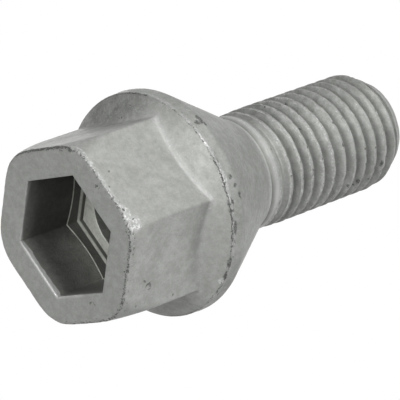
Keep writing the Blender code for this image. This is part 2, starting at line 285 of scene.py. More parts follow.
# The coating's tone is a sum of three noises. Its greys run from dark to pale over this range.
CLOUDS_SHARE = 0.28
MOTTLE_SHARE = 0.40
SPECKLE_SHARE = 0.32
TONE_RANGE = (0.36, 0.64)
# Painted shade and darkening runs from thin to thick over this range of the tone
SHADE_AND_DARKENING_RANGE = (0.64, 0.30)             # of the tone, from thin dirt to thick
BARE_TONES = (0.8, 1.2)
EDGE_WANDER = 0.5                     # millimetres by which wear wanders off the edges
COAT_END_WANDER = 0.8                 # how much of that the coating's end in the recess does
COAT_END_FADE = 0.06

# Wear beside the end face's edge and the collar's front edge, measured from them, and round the crests,
# measured from their middle: where it starts and ends and how far it fades. A line has a place and a fade.
END_EDGE_WEAR = (0.0, 0.38, 0.22)
SEAM_WEAR = (0.02, 0.24, 0.16)
CREST_WEAR_BAND = (-0.16, 0.06, 0.10)
END_EDGE_LINE = (0.0, 0.30)
SEAM_LINE = (-0.08, 0.15)
END_EDGE_CHIPS = (-0.35, 0.50, 0.25)
SEAM_CHIPS = (-0.20, 0.40, 0.25)
CREST_CHIPS = (0.00, 0.16, 0.08)
# Painted shade in the thread's roots, between these distances from a crest's middle
ROOT_BAND = (0.50, 0.74)
NO_THREAD = (1.0, 2.0)                # heights above a crest that only places off the thread have

# Marks show where a noise passes this range. Wear, painted shade and darkening lift the noise by this much.
FLECKS_RANGE = (0.64, 0.76)
FLECKS_LIFT = 0.19
LINES_RANGE = (0.66, 0.80)
LINES_LIFT = 0.32
CHIPS_RANGE = (0.68, 0.78)
CHIPS_LIFT = 0.13
CREST_CHIPS_LIFT = 0.75
SHADE_AND_DARKENING_CHIPS_LIFT = 0.5
SCATTER_RANGE = (0.80, 0.84)
SCATTER_STRENGTH = 0.5
SPOT_GRAIN = (0.36, 0.56)
SPOT_THINNEST = 0.35

# How rough and metallic each layer is, and by how many millimetres it stands up or, if dark, lies sunken
COAT_ROUGHNESS = (0.54, 0.44)         # from dark to pale
BRIGHT_ROUGHNESS = 0.40
DARK_ROUGHNESS = 0.7
BARE_ROUGHNESS = 0.42
COAT_METALLIC = 0.25
BRIGHT_METALLIC = 0.5
DARK_METALLIC = 0.1
COAT_SPECULAR = 0.3
SPECKLE_RELIEF = 0.016
MOTTLE_RELIEF = 0.018
DARK_RELIEF = 0.035
BRIGHT_RELIEF = 0.012

# Displacement of the skin
WAVE_SIZE = 2.6
WAVE_HEIGHT = 0.015
GRAIN_SIZE = 0.45
GRAIN_HEIGHT = 0.006
CALM_ZONES = ("recess", "thread", "tip", "neck")
CALM_SHARE = 0.4                      # of the waves and grain that these zones have
RAGGED_SIZE = 0.6
EDGE_RAGGEDNESS = 0.035
EDGE_REACH = 0.22
BEAD_HEIGHT = 0.055
BEAD_PLACE = 0.07
BEAD_WIDTH = 0.09
BEAD_GROOVE = 0.06
FAR = 9.0                             # a distance that is past every effect
CREST_CHIP_PLACE = 0.08               # above the crest's middle
CREST_CHIP_WIDTH = 0.14
CREST_CHIP_DEPTH = 0.16
CREST_CHIP_SIZE = 0.5
FULLY_BARE = 0.5                      # distance past the coating's end from which it counts no more
SHARP_ANGLE = math.radians(50.0)      # between faces that meet in a sharp edge
EDGE_STEP = 0.03                      # between two rows that make a sharp edge
SIDE_END = HEX_HEIGHT - 0.6           # past this height the wear goes by the distance from the collar's edge
CREST_WOBBLE = 0.07
CREST_WOBBLE_SIZE = 1.1

# Fineness of the skin: columns round the bolt, how much closer they stand at the hexagon's corners, and rows
HEAD_COLUMNS = 384
RECESS_COLUMNS = 192
SHANK_COLUMNS = 192
CROWDING = 0.35
LEAD_IN_ROWS = 3
RECESS_ROWS = 14
LEDGE_ROWS = 4
HOLLOW_ROWS = 4
END_FACE_ROWS = 10
END_EDGE_ROWS = 5
CROWN_ROWS = 22
SIDE_ROWS = 14
FILLET_ROWS = 7
DOME_ROWS = 13
RIM_ROWS = 13
RIM_EDGE_ROWS = 7
SEAT_ROWS = 10
NECK_ROWS = 4
FLANK_ROWS = 3
TIP_SHARES = (0.85, 0.6, 0.35, 0.12)
WALL_EASE = 1.6                       # above 1, rows crowd towards where the wall starts
DOME_EASE = 1.7                       # above 1, rows crowd towards the collar's edge

# Sizes that follow from those above and from the frame
HALF_CORNER = math.radians(30.0)
COLLAR_RADIUS = HIGH.x / MM
BOLT_LENGTH = HIGH.z / MM
CORNER_RADIUS = WRENCH_WIDTH / 2 / math.cos(HALF_CORNER)
COLLAR_EDGE_RADIUS = COLLAR_RADIUS - RIM_TAPER
COLLAR_EDGE_HEIGHT = HEX_HEIGHT + COLLAR_RISE
SEAT_START = COLLAR_EDGE_HEIGHT + RIM_HEIGHT
NECK_RADIUS = CREST_RADIUS - NECK_RELIEF
BAND_RADIUS = CREST_RADIUS - BAND_RELIEF
SEAT_END = SEAT_START + (COLLAR_RADIUS - NECK_RADIUS) / math.tan(SEAT_ANGLE / 2)
NECK_END = SEAT_END + NECK_LENGTH
GROOVE_HEIGHT = NECK_END + GROOVE_LENGTH
BAND_START = GROOVE_HEIGHT + SHOULDER_LENGTH
THREAD_START = BAND_START + BAND_LENGTH
POINT_START = BOLT_LENGTH - POINT_LENGTH

# Camera, from the fit to the photograph's outlines. Place in millimetres.
CAMERA_PLACE = (-180.584, 145.632, -190.658)
CAMERA_TURN = (1.23321, -0.70321, 3.13758)   # from the bolt to the picture, as an axis times its angle
CAMERA_LENS = 290.978
CAMERA_SENSOR = 36.0

# Lamps: name, direction as degrees round the bolt and above its end face, and strength
LAMPS = (
    ("side_key", 144, 0, 1.55),
    ("side_fill", 108, 0, 1.24),
    ("front_key", 108, -58, 1.13),
    ("front_fill", 72, -63, 0.40),
    ("under", 108, -75, 0.74),
    ("high_key", 108, 32, 0.60),
    ("left_rim", 216, 41, 0.50),
    ("low_rim", 252, -27, 0.55),
    ("back", 324, 32, 0.87),
)
LAMP_SOFTNESS = math.radians(30.0)
ROOM_STRENGTH = 0.03
FLOOR_SIZE = 3000.0
WHITE = (1.0, 1.0, 1.0, 1.0)
FLOOR_COLOUR = (0.85, 0.85, 0.85, 1.0)
FLOOR_GLOW = 0.5                      # added to the lit floor, so that it shows nearly white


def column_angles(count, crowding):
    """Angles of the columns, closer together at the hexagon's corners."""
    steps = np.arange(count) * 2 * math.pi / count
    return steps + crowding * np.sin(6 * steps) / 6


def hexagon_radius(angle, half_width, corner_radius):
    """Distance from the axis to a hexagon with rounded corners, whose flats face each 60 degrees from +X."""
    from_flat = np.abs((angle + HALF_CORNER) % (2 * HALF_CORNER) - HALF_CORNER)
    rounded_from = math.atan((half_width - corner_radius) * math.tan(HALF_CORNER) / half_width)
    centre = (half_width - corner_radius) / math.cos(HALF_CORNER)
    from_corner = HALF_CORNER - from_flat
    reach = np.sqrt(np.maximum(corner_radius ** 2 - (centre * np.sin(from_corner)) ** 2, 0.0))
    rounded = centre * np.cos(from_corner) + reach
    return np.where(from_flat <= rounded_from, half_width / np.cos(from_flat), rounded)


def soft_least(first, second, reach):
    """The smaller of two sizes, eased where they are closer to each other than reach."""
    near = np.maximum(reach - np.abs(first - second), 0.0)
    return np.minimum(first, second) - near ** 2 / (4 * reach)


def crown_radius(height):
    """Radius of the turned crown that rounds the corners off towards the end face."""
    drop = CORNER_RADIUS - END_FACE_DIAMETER / 2
    arc = (drop ** 2 + CROWN_LENGTH ** 2) / (2 * drop)
    below = max(CROWN_LENGTH - height, 0.0)
    return CORNER_RADIUS - arc + math.sqrt(arc ** 2 - below ** 2)


def side_radius(side, height):
    """Distance from the axis to the hexagon's side as the crown leaves it at this height."""
    if height >= CROWN_LENGTH:
        return side
    return soft_least(side, crown_radius(height), CROWN_BLEND * (1 - height / CROWN_LENGTH))


def spread(start, end, steps):
    """Values from start to end in equal steps, without the start."""
    return [start + (end - start) * step / steps for step in range(1, steps + 1)]


def shares(steps):
    """Values up to 1 in equal steps, without 0."""
    return spread(0.0, 1.0, steps)


class Skin:
    """A closed surface built ring by ring.

    Each point has a zone, a measure that its zone gives a meaning, and a tone: how pale the recess is there,
    and on the head's outside how much it is part of the fillet under the collar.
    """

    def __init__(self):
        self.points = []
        self.zones = []
        self.measures = []
        self.tones = []
        self.faces = []
        self.count = 0
        self.zone = "recess"
        self.measure = 0.0
        self.tone = 0.0

    def add(self, points):
        """Add points. Returns their numbers."""
        points = np.asarray(points, float).reshape(-1, 3)
        self.points.append(points)
        self.zones.append(np.full(len(points), self.zone, dtype="U8"))
        self.measures.append(np.broadcast_to(self.measure, len(points)))
        self.tones.append(np.broadcast_to(self.tone, len(points)))
        self.count += len(points)
        return list(range(self.count - len(points), self.count))

    def ring(self, angles, radius, height, shift=0.0):
        radius, height = np.broadcast_to(radius, angles.shape), np.broadcast_to(height, angles.shape)
        across = radius * np.cos(angles) + shift
        return self.add(np.stack([across, radius * np.sin(angles), height], axis=1))

    def join(self, first, second):
        """Join two rings with faces. One of them may have a whole multiple of the other's points."""
        coarse_first = len(first) < len(second)
        fine, coarse = (second, first) if coarse_first else (first, second)
        ratio = len(fine) // len(coarse)
        for index, here in enumerate(coarse):
            there = coarse[(index + 1) % len(coarse)]
            run = [fine[(index * ratio + step) % len(fine)] for step in range(ratio + 1)]
            if ratio == 1:
                faces = [(run[0], run[1], there, here)]
            else:
                middle = ratio // 2
                faces = [(run[step], run[step + 1], here if step < middle else there)
                         for step in range(ratio)]
                faces.append((run[middle], there, here))
            self.faces += [face[::-1] if coarse_first else face for face in faces]

    def extend(self, ring, angles, radius, height, shift=0.0):
        """Add a ring and join it to the one before. Returns the new one."""
        following = self.ring(angles, radius, height, shift)
        self.join(ring, following)
        return following

    def close(self, ring, centre, downward):
        """Close a ring with triangles to a centre point."""
        for index, here in enumerate(ring):
            there = ring[(index + 1) % len(ring)]
            self.faces.append((centre, there, here) if downward else (centre, here, there))


def by_azimuth(profile, angles):
    """Value at these angles of a profile given at some azimuths."""
    azimuths, values = zip(*profile)
    return np.interp(np.degrees(angles), azimuths, values, period=360.0)


def along(profile, heights):
    """Value at these heights of a profile given at some heights."""
    places, values = zip(*profile)
    return np.interp(heights, places, values)


def recess_rows():
    """Recess from its mouth to its floor, as half width across the flats, depth, cone and tone.

    A tone of None stands for the wall above the first ledge, whose tone goes by its azimuth and depth.
    """
    half = RECESS_WIDTH / 2
    first = half - FIRST_LEDGE_WIDTH
    second = first - SECOND_LEDGE_WIDTH
    rows = [(half + RECESS_LEAD_IN, 0.0, 0.0, None)]
    for turn in spread(0.0, math.pi / 2, LEAD_IN_ROWS):
        lead = RECESS_LEAD_IN * (1 - math.sin(turn))
        rows.append((half + lead, RECESS_LEAD_DEPTH * (1 - math.cos(turn)), 0.0, None))
    for share in shares(RECESS_ROWS):
        eased = share ** WALL_EASE
        depth = RECESS_LEAD_DEPTH + (FIRST_LEDGE_DEPTH - EDGE_STEP - RECESS_LEAD_DEPTH) * eased
        rows.append((half, depth, FIRST_LEDGE_CONE * eased, None))
    ledge = FIRST_LEDGE_DEPTH + FIRST_LEDGE_WIDTH
    rows.append((half, FIRST_LEDGE_DEPTH, FIRST_LEDGE_CONE, LEDGE_TONE))
    rows.append((first, ledge, FIRST_LEDGE_CONE, LEDGE_TONE))
    rows.append((first, ledge + EDGE_STEP, FIRST_LEDGE_CONE, MIDDLE_TONE))
    for share in shares(LEDGE_ROWS):
        depth = ledge + (SECOND_LEDGE_DEPTH - ledge) * share - EDGE_STEP
        rows.append((first, depth, FIRST_LEDGE_CONE * (1 - share), MIDDLE_TONE))
    lower = SECOND_LEDGE_DEPTH + SECOND_LEDGE_WIDTH
    rows.append((first, SECOND_LEDGE_DEPTH, 0.0, LEDGE_TONE))
    rows.append((second, lower, 0.0, LEDGE_TONE))
    rows += [(second, depth, 0.0, MIDDLE_TONE)
             for depth in spread(lower, RECESS_DEPTH - EDGE_STEP, LEDGE_ROWS - 1)]
    rows.append((second, RECESS_DEPTH, 0.0, FLOOR_TONE))
    return rows


def wall_tone(angles, depth):
    """Tone of the recess's wall above the first ledge, with painted light and shade by azimuth deep down."""
    share = depth / FIRST_LEDGE_DEPTH
    if share < MIDDLE_SHARE:
        return MOUTH_TONE + (MIDDLE_TONE - MOUTH_TONE) * share / MIDDLE_SHARE
    deeper = (share - MIDDLE_SHARE) / (1 - MIDDLE_SHARE)
    return MIDDLE_TONE + (by_azimuth(DEEP_TONE, angles) - MIDDLE_TONE) * deeper


def add_recess(skin):
    """Recess with its ledges, floor and hollow. Returns the ring round its mouth."""
    angles = column_angles(RECESS_COLUMNS, CROWDING)
    reach = by_azimuth(COAT_REACH, angles)
    radius = HOLLOW_DIAMETER / 2
    bottom = RECESS_DEPTH + HOLLOW_DEPTH
    point = radius / math.tan(HOLLOW_POINT_ANGLE / 2)
    skin.zone, skin.measure, skin.tone = "recess", FULLY_BARE, HOLLOW_TONE
    deepest = skin.add((RECESS_OFF_CENTRE, 0.0, bottom + point))[0]
    ring = skin.ring(angles, radius / 8, bottom + point * 7 / 8, RECESS_OFF_CENTRE)
    skin.close(ring, deepest, True)
    rows = [(radius * share, bottom + point * (1 - share)) for share in spread(1 / 8, 1.0, HOLLOW_ROWS)]
    rows += [(radius, height) for height in spread(bottom, RECESS_DEPTH + 2 * EDGE_STEP, HOLLOW_ROWS)]
    rows.append((radius + 0.6 * EDGE_STEP, RECESS_DEPTH + 0.6 * EDGE_STEP))
    rows.append((radius + 2 * EDGE_STEP, RECESS_DEPTH))
    for reach_out, height in rows:
        skin.tone = HOLLOW_TONE if height > RECESS_DEPTH + EDGE_STEP else FLOOR_TONE
        ring = skin.extend(ring, angles, reach_out, height, RECESS_OFF_CENTRE)
    steps = recess_rows()[::-1]
    wall = hexagon_radius(angles, steps[0][0], 0.0)
    for share in shares(LEDGE_ROWS)[:-1]:
        floor = rows[-1][0] * (1 - share) + wall * share
        ring = skin.extend(ring, angles, floor, RECESS_DEPTH, RECESS_OFF_CENTRE)
    for half_width, depth, cone, tone in steps:
        wall = hexagon_radius(angles, half_width, 0.0)
        skin.measure = np.minimum(depth - reach, FULLY_BARE)
        skin.tone = wall_tone(angles, depth) if tone is None else tone
        ring = skin.extend(ring, angles, wall, depth - cone * (wall - half_width), RECESS_OFF_CENTRE)
    return ring


def dome_centre():
    """Centre of the arc, in radius and height, of the collar's domed front face."""
    run = COLLAR_EDGE_RADIUS - CORNER_RADIUS
    chord = math.hypot(run, COLLAR_RISE)
    back = math.sqrt(COLLAR_DOME_RADIUS ** 2 - (chord / 2) ** 2)
    middle = (CORNER_RADIUS + run / 2, HEX_HEIGHT + COLLAR_RISE / 2)
    return middle[0] - back * COLLAR_RISE / chord, middle[1] + back * run / chord


def head_rows(angles):
    """Outside of the head from the end face's edge to the collar's front edge.

    Gives radii, heights and how much each row is part of the fillet.
    """
    side = hexagon_radius(angles, WRENCH_WIDTH / 2, HEX_CORNER_RADIUS)
    edge = side_radius(side, END_EDGE_RADIUS)
    rows = []
    for turn in [0.0] + spread(0.0, math.pi / 2, END_EDGE_ROWS):
        radius = edge - END_EDGE_RADIUS * (1 - math.sin(turn))
        rows.append((radius, END_EDGE_RADIUS * (1 - math.cos(turn)), 0.0))
    for height in spread(END_EDGE_RADIUS, CROWN_LENGTH, CROWN_ROWS):
        rows.append((side_radius(side, height), height, 0.0))

    centre_radius, centre_height = dome_centre()
    fillet_radius = side + COLLAR_FILLET
    reach = COLLAR_DOME_RADIUS + COLLAR_FILLET
    fillet_height = centre_height - np.sqrt(reach ** 2 - (fillet_radius - centre_radius) ** 2)
    tilt_end = np.arctan2(centre_height - fillet_height, fillet_radius - centre_radius)
    for share in shares(SIDE_ROWS)[:-1]:
        height = CROWN_LENGTH + (fillet_height - CROWN_LENGTH) * share
        rows.append((side, height, max(share - FILLET_SHEEN_FROM, 0.0) * 3))
    for share in [0.0] + shares(FILLET_ROWS):
        turn = tilt_end * share
        radius = fillet_radius - COLLAR_FILLET * np.cos(turn)
        height = fillet_height + COLLAR_FILLET * np.sin(turn)
        rows.append((radius, height, 0.5 + 0.5 * math.sin(math.pi * share)))

    dome_from = np.arctan2(rows[-1][0] - centre_radius, centre_height - rows[-1][1])
    dome_to = math.atan2(COLLAR_EDGE_RADIUS - centre_radius, centre_height - COLLAR_EDGE_HEIGHT)
    for share in shares(DOME_ROWS):
        turn = dome_from + (dome_to - dome_from) * (1 - (1 - share) ** DOME_EASE)
        rows.append((centre_radius + COLLAR_DOME_RADIUS * np.sin(turn),
                     centre_height - COLLAR_DOME_RADIUS * np.cos(turn), max(0.5 - 2 * share, 0.0)))
    return rows


def rim_and_seat_rows():
    """Turned outline from just past the collar's front edge to the small end of the seat."""
    half_turn = SEAT_ANGLE / 4
    arc_start = SEAT_START - RIM_EDGE_RADIUS * math.tan(half_turn)
    rows = []
    for share in shares(RIM_ROWS):
        eased = share ** WALL_EASE
        rows.append((COLLAR_EDGE_RADIUS + RIM_TAPER * eased,
                     COLLAR_EDGE_HEIGHT + (arc_start - COLLAR_EDGE_HEIGHT) * eased))
    for turn in spread(0.0, SEAT_ANGLE / 2, RIM_EDGE_ROWS):
        rows.append((COLLAR_RADIUS - RIM_EDGE_RADIUS * (1 - math.cos(turn)),
                     arc_start + RIM_EDGE_RADIUS * math.sin(turn)))
    radius, height = rows[-1]
    for share in shares(SEAT_ROWS):
        rows.append((radius + (NECK_RADIUS - radius) * share, height + (SEAT_END - height) * share))
    return rows


def neck_rows():
    """Neck, groove, shoulder and plain band."""
    corners = [
        (NECK_RADIUS, NECK_END),
        (NECK_RADIUS - GROOVE_DEPTH, GROOVE_HEIGHT),
        (BAND_RADIUS, BAND_START),
        (BAND_RADIUS, THREAD_START),
    ]
    rows = []
    before = np.array((NECK_RADIUS, SEAT_END))
    for corner in np.array(corners):
        rows += [tuple(before + (corner - before) * share) for share in shares(NECK_ROWS)]
        before = corner
    return rows


def add_head(skin, mouth):
    """End face and outside of the head, up to the thread's start. Returns the last ring."""
    angles = column_angles(HEAD_COLUMNS, CROWDING)
    rows = head_rows(angles)
    inner = hexagon_radius(angles, RECESS_WIDTH / 2 + RECESS_LEAD_IN, 0.0)
    inner = np.stack([inner * np.cos(angles) + RECESS_OFF_CENTRE, inner * np.sin(angles)], axis=1)
    outer = np.stack([rows[0][0] * np.cos(angles), rows[0][0] * np.sin(angles)], axis=1)
    width = np.linalg.norm(outer - inner, axis=1)
    ring = mouth
    skin.zone = "end"
    for share in shares(END_FACE_ROWS)[:-1]:
        skin.measure = -(1 - share) * width
        flat = np.concatenate([inner + (outer - inner) * share, np.zeros((HEAD_COLUMNS, 1))], axis=1)
        following = skin.add(flat)
        skin.join(ring, following)
        ring = following
    for radius, height, skin.tone in rows:
        on_side = np.max(height) < SIDE_END
        to_seam = -np.hypot(radius - COLLAR_EDGE_RADIUS, height - COLLAR_EDGE_HEIGHT)
        skin.zone = "side" if on_side else "collar"
        skin.measure = height if on_side else to_seam
        ring = skin.extend(ring, angles, radius, height)
    skin.tone = 0.0
    turned = rim_and_seat_rows()
    for row, (radius, height) in enumerate(turned):
        eased = column_angles(HEAD_COLUMNS, CROWDING * (1 - row / (len(turned) - 1)))
        skin.zone, skin.measure = "rim" if height <= SEAT_START else "seat", height - COLLAR_EDGE_HEIGHT
        ring = skin.extend(ring, eased, radius, height)
    even = column_angles(HEAD_COLUMNS, 0.0)
    skin.zone, skin.measure = "neck", 0.0
    for radius, height in neck_rows():
        ring = skin.extend(ring, even, radius, height)
    return ring


def thread_outline(turns):
    """One pitch of the thread's outline at this many turns from its start.

    Gives heights above the crest's middle with their depths.
    """
    closed = min(max(turns / LIP_TURNS, 0.0), 1.0)
    lip = OPEN_LIP + (CLOSED_LIP - OPEN_LIP) * closed
    seam = OPEN_SEAM + (CLOSED_SEAM - OPEN_SEAM) * closed
    middle = THREAD_PITCH / 2
    edge = lip + CREST_SLOPE
    flank_foot = THREAD_DEPTH - ROOT_RADIUS * (1 - math.sin(FLANK_ANGLE))
    foot = middle - ROOT_RADIUS * math.cos(FLANK_ANGLE)
    half = [(lip * SEAM_SIDE_PLACE, seam * SEAM_SIDE_DEPTH), (lip, 0.0), (edge, CREST_EDGE_DEPTH)]
    for share in shares(FLANK_ROWS):
        depth = CREST_EDGE_DEPTH + (flank_foot - CREST_EDGE_DEPTH) * share
        half.append((edge + (foot - edge) * share, depth))
    half_turn = (math.pi / 2 - FLANK_ANGLE) / 2
    half.append((middle - ROOT_RADIUS * math.sin(half_turn),
                 THREAD_DEPTH - ROOT_RADIUS * (1 - math.cos(half_turn))))
    other = [(THREAD_PITCH - height, depth) for height, depth in half[::-1]]
    return [(0.0, seam)] + half + [(middle, THREAD_DEPTH)] + other


def thread_radius(depth, height):
    """Radius of a point of the thread, with the runout at the neck and the tapered end taken off it."""
    turns = (height - THREAD_START) / THREAD_PITCH
    radius = BAND_RADIUS + BAND_RELIEF * min(turns / CREST_TURNS, 1.0)
    radius -= depth * min(turns / RUNOUT_TURNS, 1.0)
    along_point = max(height - POINT_START, 0.0) / POINT_LENGTH
    return min(radius, CREST_RADIUS - along_point * (CREST_RADIUS - POINT_DIAMETER / 2))


def thread_column(skin, column):
    """Points of the thread along one straight line up the bolt, by their place in the outline.

    Their measure is the height above the nearest crest's middle.
    """
    angle = 2 * math.pi * column / SHANK_COLUMNS
    start = THREAD_PHASE - 2 + column / SHANK_COLUMNS
    spare = CLOSED_LIP / 8
    places = []
    points = []
    above_crest = []
    for turn in range(int((BOLT_LENGTH - THREAD_START) / THREAD_PITCH + 4)):
        outline = thread_outline(start + turn)
        for index, (rise, depth) in enumerate(outline):
            turns = start + turn + rise / THREAD_PITCH
            shift = EARLY_SHIFT * min(max((EARLY_TURNS + EARLY_FADE - turns) / EARLY_FADE, 0.0), 1.0)
            height = THREAD_START + turns * THREAD_PITCH - shift
            if THREAD_START + spare < height < BOLT_LENGTH - spare:
                radius = thread_radius(depth, height)
                places.append(turn * len(outline) + index)
                points.append((radius * math.cos(angle), radius * math.sin(angle), height))
                above_crest.append(rise if rise < THREAD_PITCH / 2 else rise - THREAD_PITCH)
    skin.measure = np.array(above_crest)
    return dict(zip(places, skin.add(points)))


def join_columns(skin, left, right, low, high):
    """Faces between two neighbouring columns, and from them to the rings under and over the thread."""
    first = max(min(left), min(right))
    last = min(max(left), max(right))
    corners = [low[1]] + [right[place] for place in range(min(right), first)] + [right[first], left[first]]
    corners += [left[place] for place in range(first - 1, min(left) - 1, -1)]
    skin.faces += [(low[0], here, there) for here, there in zip(corners, corners[1:])]
    skin.faces += [(left[place], right[place], right[place + 1], left[place + 1])
                   for place in range(first, last)]
    corners = [high[0]] + [left[place] for place in range(max(left), last, -1)] + [left[last], right[last]]
    corners += [right[place] for place in range(last + 1, max(right) + 1)]
    skin.faces += [(high[1], here, there) for here, there in zip(corners, corners[1:])]


def add_thread(skin, ring):
    """Thread and the bolt's end."""
    even = column_angles(SHANK_COLUMNS, 0.0)
    base = skin.ring(even, BAND_RADIUS, THREAD_START + 0.001)
    skin.join(ring, base)
    skin.zone, skin.measure = "thread", 0.3
    end = skin.ring(even, POINT_DIAMETER / 2, BOLT_LENGTH)
    columns = [thread_column(skin, column) for column in range(SHANK_COLUMNS)]
    per_turn = len(thread_outline(0.0))
    for column in range(SHANK_COLUMNS):
        following = (column + 1) % SHANK_COLUMNS
        shift = per_turn if following == 0 else 0
        right = {place - shift: point for place, point in columns[following].items()}
        low, high = (base[column], base[following]), (end[column], end[following])
        join_columns(skin, columns[column], right, low, high)
    skin.zone, skin.measure = "tip", 0.0
    ring = end
    for share in TIP_SHARES:
        ring = skin.extend(ring, even, POINT_DIAMETER / 2 * share, BOLT_LENGTH)
    centre = skin.add((0.0, 0.0, BOLT_LENGTH))[0]
    skin.close(ring, centre, False)


def place_on(spot):
    """Point from its azimuth in degrees, height and distance from the axis."""
    azimuth, height, radius = spot
    angle = math.radians(azimuth)
    return np.array((radius * math.cos(angle), radius * math.sin(angle), height))


def smooth_noise(points, size, seed):
    """Noise from about -1 to 1 at each point, whose lumps have this size."""
    shift = Vector((seed * 17.3, seed * 5.1, seed * 9.7))
    return np.array([noise.noise(Vector(point) / size + shift) for point in points])


def along_edges(points, zones, measures, tones):
    """What each point of the skin is to the wear, the painted light and shade and the darkening: distances
    from edges, and how worn those are there.
    """
    angles = np.arctan2(points[:, 1], points[:, 0])

    def where(names, otherwise):
        return np.where(np.isin(zones, names), measures, otherwise)

    heights = points[:, 2]
    on_shank = np.isin(zones, ("seat", "neck", "thread"))
    on_head = np.isin(zones, ("side", "collar"))
    # Painted highlights and, below 0, painted shade on the neck; a painted sheen on the fillet; a painted
    # highlight on the recess's lip
    painted_light = np.where(on_shank, along(NECK_HIGHLIGHT_AND_SHADE, heights), 0.0)
    painted_light = np.where(on_head, tones * by_azimuth(FILLET_PAINTED_SHEEN, angles), painted_light)
    painted_light = np.where(zones == "recess", by_azimuth(LIP_HIGHLIGHT, angles), painted_light)
    # Painted shade in the corner under the collar, darker towards the collar; darker on the rim, the seat and
    # the thread
    deep = np.clip((heights - CORNER_SHADE_FROM) / (HEX_HEIGHT - CORNER_SHADE_FROM), 0.0, 1.0)
    shade_and_darkening = np.where(on_head, deep * by_azimuth(CORNER_SHADE, angles), 0.0)
    shade_and_darkening = np.where(np.isin(zones, ("rim", "seat")), by_azimuth(SEAT_DARKENING, angles), shade_and_darkening)
    shade_and_darkening = np.where(zones == "thread", by_azimuth(THREAD_DARKENING, angles), shade_and_darkening)
    return {
        "bareness": where(("recess",), -1.0),
        "recess_tone": tones,
        "painted_light": np.maximum(painted_light, 0.0),
        "groove": np.maximum(-painted_light, 0.0),
        "shade_and_darkening": shade_and_darkening,
        "crest_wear": along(CREST_WEAR, heights),
        "from_end_edge": where(("end", "side"), FAR),
        "from_seam": where(("collar", "rim", "seat"), FAR),
        "above_crest": where(("thread",), FAR),
        "end_edge_shine": by_azimuth(END_EDGE_SHINE, angles),
        "end_edge_dark": by_azimuth(END_EDGE_DARK, angles),
        "seam_shine": by_azimuth(SEAM_SHINE, angles),
        "seam_dark": by_azimuth(SEAM_DARK, angles),
    }


def displacement(points, zones, traits):
    """How far each point moves along its normal: waves, grain, ragged edges, the collar's bead and dents."""
    ragged = smooth_noise(points, RAGGED_SIZE, 3)
    move = WAVE_HEIGHT * smooth_noise(points, WAVE_SIZE, 1)
    move += GRAIN_HEIGHT * smooth_noise(points, GRAIN_SIZE, 2)
    move[np.isin(zones, CALM_ZONES)] *= CALM_SHARE
    outline = np.exp(-(traits["from_end_edge"] / EDGE_REACH) ** 2)
    move -= outline * EDGE_RAGGEDNESS * np.maximum(ragged + 0.2, 0.0) * (0.4 + traits["end_edge_dark"])
    from_seam = traits["from_seam"]
    bead = np.exp(-((from_seam - BEAD_PLACE) / BEAD_WIDTH) ** 2)
    move += bead * BEAD_HEIGHT * (0.45 + 0.55 * traits["seam_shine"]) * (1 + 0.8 * ragged)
    groove = np.exp(-((from_seam + BEAD_PLACE) / BEAD_WIDTH) ** 2)
    move -= groove * BEAD_GROOVE * traits["seam_dark"] * np.maximum(0.5 + ragged, 0.0)
    crest = np.exp(-((traits["above_crest"] - CREST_CHIP_PLACE) / CREST_CHIP_WIDTH) ** 2)
    move -= crest * CREST_CHIP_DEPTH * np.maximum(smooth_noise(points, CREST_CHIP_SIZE, 4) - 0.05, 0.0)
    for first, second, width, depth in DENTS:
        start, end = place_on(first), place_on(second)
        line = end - start
        share = np.clip((points - start) @ line / (line @ line), 0.0, 1.0)
        distance = np.linalg.norm(points - start - share[:, None] * line, axis=1)
        move -= depth * np.maximum(1 - (distance / width) ** 2, 0.0) ** 2
    return move


